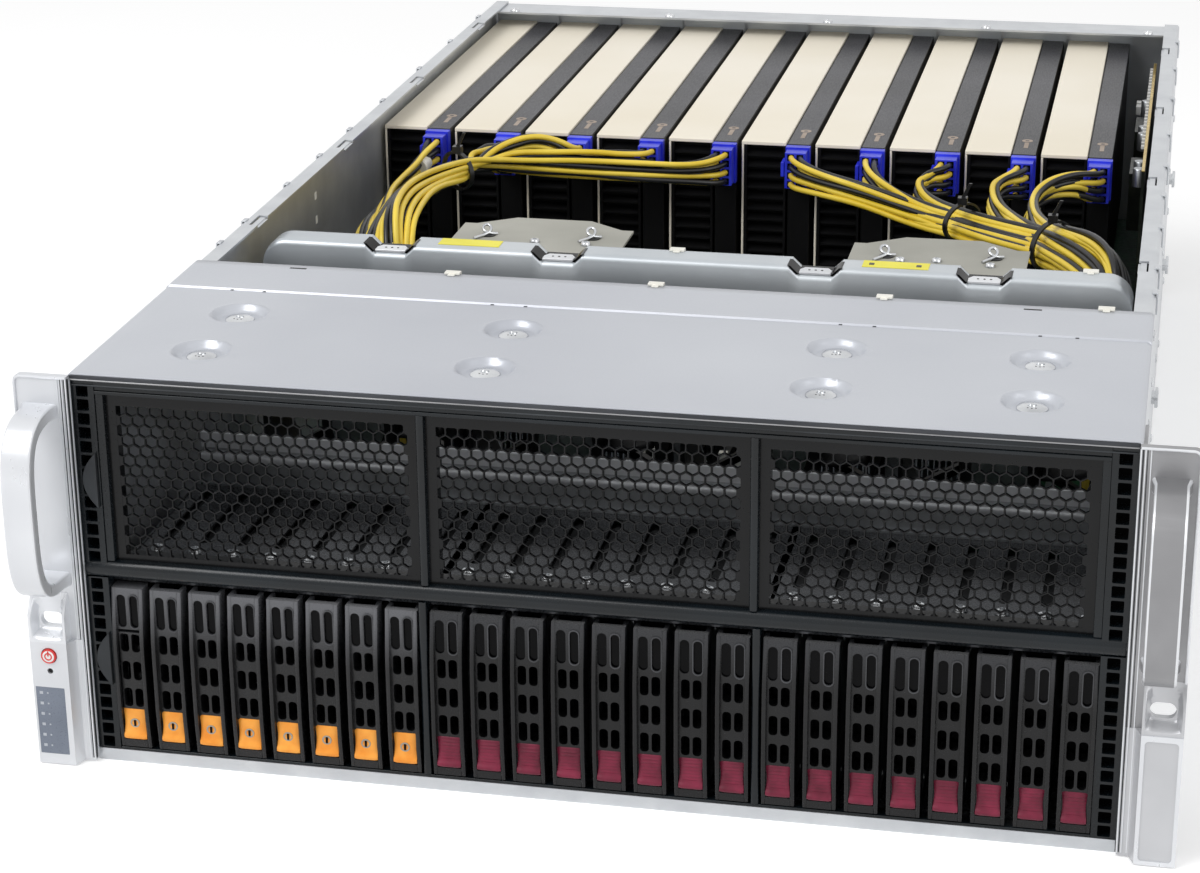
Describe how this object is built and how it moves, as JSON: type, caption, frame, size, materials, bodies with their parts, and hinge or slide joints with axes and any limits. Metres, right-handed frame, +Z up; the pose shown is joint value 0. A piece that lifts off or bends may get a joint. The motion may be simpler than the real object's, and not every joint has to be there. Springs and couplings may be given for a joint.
{
  "type": "gpu server",
  "caption": "Four-unit rack server with slide-out drive carriers, honeycomb intakes, cooling fans, a row of double-width accelerator cards and slide-in power supplies.",
  "frame": {"origin": "on the underside, below the middle of the whole object with both sets of handles", "axes": "+X to the right seen from the front, +Y from the front to the rear, +Z up"},
  "size_m": [0.4826, 0.791, 0.1778],
  "materials": {
    "zinc_sheet": "zinc-plated sheet, satin",
    "cover_paint": "light blue-grey satin",
    "frame_black": "black satin",
    "grille_grey": "black satin perforated sheet",
    "ear_silver": "fine bead-blasted",
    "handle_silver": "satin anodised",
    "window_grey": "smoked grey gloss",
    "button_red": "gloss",
    "button_black": "matt",
    "bezel_plastic": "fine moulded grain",
    "catch_orange": "semi-gloss",
    "bright_steel": "bright zinc",
    "shelf_grey": "warm grey satin",
    "fan_plastic": "matt black",
    "board_green": "solder mask",
    "fin_aluminium": "bare fins",
    "memory_black": "bare module",
    "card_cream": "cream satin",
    "plug_blue": "moulded nylon",
    "wire_yellow": "insulated wire",
    "supply_metal": "plated case"
  },
  "bodies": {
    "chassis": {"chassis_tray": "zinc_sheet", "rear_panel": "zinc_sheet", "drive_cage": "zinc_sheet", "psu_bays": "zinc_sheet", "front_top_cover": "cover_paint", "front_frame": "frame_black", "intake_grilles": "grille_grey", "left_ear": "ear_silver", "right_ear": "ear_silver", "front_handles": "handle_silver", "status_window": "window_grey", "cross_wall": "bright_steel", "cable_shelves": "shelf_grey", "fan_frames": "fan_plastic", "drive_backplane": "board_green", "motherboard": "board_green", "power_boards": "board_green", "gpu_board": "board_green", "riser_board": "board_green", "cpu_heatsinks": "fin_aluminium", "memory_modules": "memory_black", "gpu_cards": "card_cream", "gpu_power_plugs": "plug_blue", "gpu_power_looms": "wire_yellow"},
    "drive_carrier_01": {"drive_carrier_01": "bezel_plastic"},
    "drive_carrier_02": {"drive_carrier_02": "bezel_plastic"},
    "drive_carrier_03": {"drive_carrier_03": "bezel_plastic"},
    "drive_carrier_04": {"drive_carrier_04": "bezel_plastic"},
    "drive_carrier_05": {"drive_carrier_05": "bezel_plastic"},
    "drive_carrier_06": {"drive_carrier_06": "bezel_plastic"},
    "drive_carrier_07": {"drive_carrier_07": "bezel_plastic"},
    "drive_carrier_08": {"drive_carrier_08": "bezel_plastic"},
    "drive_carrier_09": {"drive_carrier_09": "bezel_plastic"},
    "drive_carrier_10": {"drive_carrier_10": "bezel_plastic"},
    "drive_carrier_11": {"drive_carrier_11": "bezel_plastic"},
    "drive_carrier_12": {"drive_carrier_12": "bezel_plastic"},
    "drive_carrier_13": {"drive_carrier_13": "bezel_plastic"},
    "drive_carrier_14": {"drive_carrier_14": "bezel_plastic"},
    "drive_carrier_15": {"drive_carrier_15": "bezel_plastic"},
    "drive_carrier_16": {"drive_carrier_16": "bezel_plastic"},
    "drive_carrier_17": {"drive_carrier_17": "bezel_plastic"},
    "drive_carrier_18": {"drive_carrier_18": "bezel_plastic"},
    "drive_carrier_19": {"drive_carrier_19": "bezel_plastic"},
    "drive_carrier_20": {"drive_carrier_20": "bezel_plastic"},
    "drive_carrier_21": {"drive_carrier_21": "bezel_plastic"},
    "drive_carrier_22": {"drive_carrier_22": "bezel_plastic"},
    "drive_carrier_23": {"drive_carrier_23": "bezel_plastic"},
    "drive_carrier_24": {"drive_carrier_24": "bezel_plastic"},
    "carrier_01_lever": {"carrier_01_lever": "bezel_plastic"},
    "carrier_01_button": {"carrier_01_button": "catch_orange"},
    "fan_rotor_1": {"fan_rotor_1": "fan_plastic"},
    "fan_rotor_2": {"fan_rotor_2": "fan_plastic"},
    "fan_rotor_3": {"fan_rotor_3": "fan_plastic"},
    "fan_rotor_4": {"fan_rotor_4": "fan_plastic"},
    "psu_1": {"psu_1": "supply_metal"},
    "psu_2": {"psu_2": "supply_metal"},
    "psu_3": {"psu_3": "supply_metal"},
    "psu_4": {"psu_4": "supply_metal"},
    "power_button": {"power_button": "button_red"},
    "reset_button": {"reset_button": "button_black"}
  },
  "joints": [
    {"name": "drive_carrier_01_slide", "type": "slide", "parent": "chassis", "child": "drive_carrier_01", "axis": [0, -1, 0], "range_m": [0, 0.12]},
    {"name": "drive_carrier_02_slide", "type": "slide", "parent": "chassis", "child": "drive_carrier_02", "axis": [0, -1, 0], "range_m": [0, 0.12]},
    {"name": "drive_carrier_03_slide", "type": "slide", "parent": "chassis", "child": "drive_carrier_03", "axis": [0, -1, 0], "range_m": [0, 0.12]},
    {"name": "drive_carrier_04_slide", "type": "slide", "parent": "chassis", "child": "drive_carrier_04", "axis": [0, -1, 0], "range_m": [0, 0.12]},
    {"name": "drive_carrier_05_slide", "type": "slide", "parent": "chassis", "child": "drive_carrier_05", "axis": [0, -1, 0], "range_m": [0, 0.12]},
    {"name": "drive_carrier_06_slide", "type": "slide", "parent": "chassis", "child": "drive_carrier_06", "axis": [0, -1, 0], "range_m": [0, 0.12]},
    {"name": "drive_carrier_07_slide", "type": "slide", "parent": "chassis", "child": "drive_carrier_07", "axis": [0, -1, 0], "range_m": [0, 0.12]},
    {"name": "drive_carrier_08_slide", "type": "slide", "parent": "chassis", "child": "drive_carrier_08", "axis": [0, -1, 0], "range_m": [0, 0.12]},
    {"name": "drive_carrier_09_slide", "type": "slide", "parent": "chassis", "child": "drive_carrier_09", "axis": [0, -1, 0], "range_m": [0, 0.12]},
    {"name": "drive_carrier_10_slide", "type": "slide", "parent": "chassis", "child": "drive_carrier_10", "axis": [0, -1, 0], "range_m": [0, 0.12]},
    {"name": "drive_carrier_11_slide", "type": "slide", "parent": "chassis", "child": "drive_carrier_11", "axis": [0, -1, 0], "range_m": [0, 0.12]},
    {"name": "drive_carrier_12_slide", "type": "slide", "parent": "chassis", "child": "drive_carrier_12", "axis": [0, -1, 0], "range_m": [0, 0.12]},
    {"name": "drive_carrier_13_slide", "type": "slide", "parent": "chassis", "child": "drive_carrier_13", "axis": [0, -1, 0], "range_m": [0, 0.12]},
    {"name": "drive_carrier_14_slide", "type": "slide", "parent": "chassis", "child": "drive_carrier_14", "axis": [0, -1, 0], "range_m": [0, 0.12]},
    {"name": "drive_carrier_15_slide", "type": "slide", "parent": "chassis", "child": "drive_carrier_15", "axis": [0, -1, 0], "range_m": [0, 0.12]},
    {"name": "drive_carrier_16_slide", "type": "slide", "parent": "chassis", "child": "drive_carrier_16", "axis": [0, -1, 0], "range_m": [0, 0.12]},
    {"name": "drive_carrier_17_slide", "type": "slide", "parent": "chassis", "child": "drive_carrier_17", "axis": [0, -1, 0], "range_m": [0, 0.12]},
    {"name": "drive_carrier_18_slide", "type": "slide", "parent": "chassis", "child": "drive_carrier_18", "axis": [0, -1, 0], "range_m": [0, 0.12]},
    {"name": "drive_carrier_19_slide", "type": "slide", "parent": "chassis", "child": "drive_carrier_19", "axis": [0, -1, 0], "range_m": [0, 0.12]},
    {"name": "drive_carrier_20_slide", "type": "slide", "parent": "chassis", "child": "drive_carrier_20", "axis": [0, -1, 0], "range_m": [0, 0.12]},
    {"name": "drive_carrier_21_slide", "type": "slide", "parent": "chassis", "child": "drive_carrier_21", "axis": [0, -1, 0], "range_m": [0, 0.12]},
    {"name": "drive_carrier_22_slide", "type": "slide", "parent": "chassis", "child": "drive_carrier_22", "axis": [0, -1, 0], "range_m": [0, 0.12]},
    {"name": "drive_carrier_23_slide", "type": "slide", "parent": "chassis", "child": "drive_carrier_23", "axis": [0, -1, 0], "range_m": [0, 0.12]},
    {"name": "drive_carrier_24_slide", "type": "slide", "parent": "chassis", "child": "drive_carrier_24", "axis": [0, -1, 0], "range_m": [0, 0.12]},
    {"name": "carrier_01_lever_hinge", "type": "hinge", "parent": "drive_carrier_01", "child": "carrier_01_lever", "pos_m": [-0.20011, -0.3584, 0.0602], "axis": [-1, 0, 0], "range_deg": [0, 70]},
    {"name": "carrier_01_button_press", "type": "slide", "parent": "drive_carrier_01", "child": "carrier_01_button", "axis": [0, 1, 0], "range_m": [0, 0.0015], "stiffness_N_per_m": 900},
    {"name": "fan_rotor_1_spin", "type": "hinge", "parent": "chassis", "child": "fan_rotor_1", "pos_m": [-0.153, -0.1635, 0.088], "axis": [0, 1, 0], "continuous": true},
    {"name": "fan_rotor_2_spin", "type": "hinge", "parent": "chassis", "child": "fan_rotor_2", "pos_m": [-0.051, -0.1635, 0.088], "axis": [0, 1, 0], "continuous": true},
    {"name": "fan_rotor_3_spin", "type": "hinge", "parent": "chassis", "child": "fan_rotor_3", "pos_m": [0.051, -0.1635, 0.088], "axis": [0, 1, 0], "continuous": true},
    {"name": "fan_rotor_4_spin", "type": "hinge", "parent": "chassis", "child": "fan_rotor_4", "pos_m": [0.153, -0.1635, 0.088], "axis": [0, 1, 0], "continuous": true},
    {"name": "psu_1_slide", "type": "slide", "parent": "chassis", "child": "psu_1", "axis": [0, 1, 0], "range_m": [0, 0.25]},
    {"name": "psu_2_slide", "type": "slide", "parent": "chassis", "child": "psu_2", "axis": [0, 1, 0], "range_m": [0, 0.25]},
    {"name": "psu_3_slide", "type": "slide", "parent": "chassis", "child": "psu_3", "axis": [0, 1, 0], "range_m": [0, 0.25]},
    {"name": "psu_4_slide", "type": "slide", "parent": "chassis", "child": "psu_4", "axis": [0, 1, 0], "range_m": [0, 0.25]},
    {"name": "power_button_press", "type": "slide", "parent": "chassis", "child": "power_button", "axis": [0, 1, 0], "range_m": [0, 0.0012], "stiffness_N_per_m": 900},
    {"name": "reset_button_press", "type": "slide", "parent": "chassis", "child": "reset_button", "axis": [0, 1, 0], "range_m": [0, 0.001], "stiffness_N_per_m": 600}
  ]
}
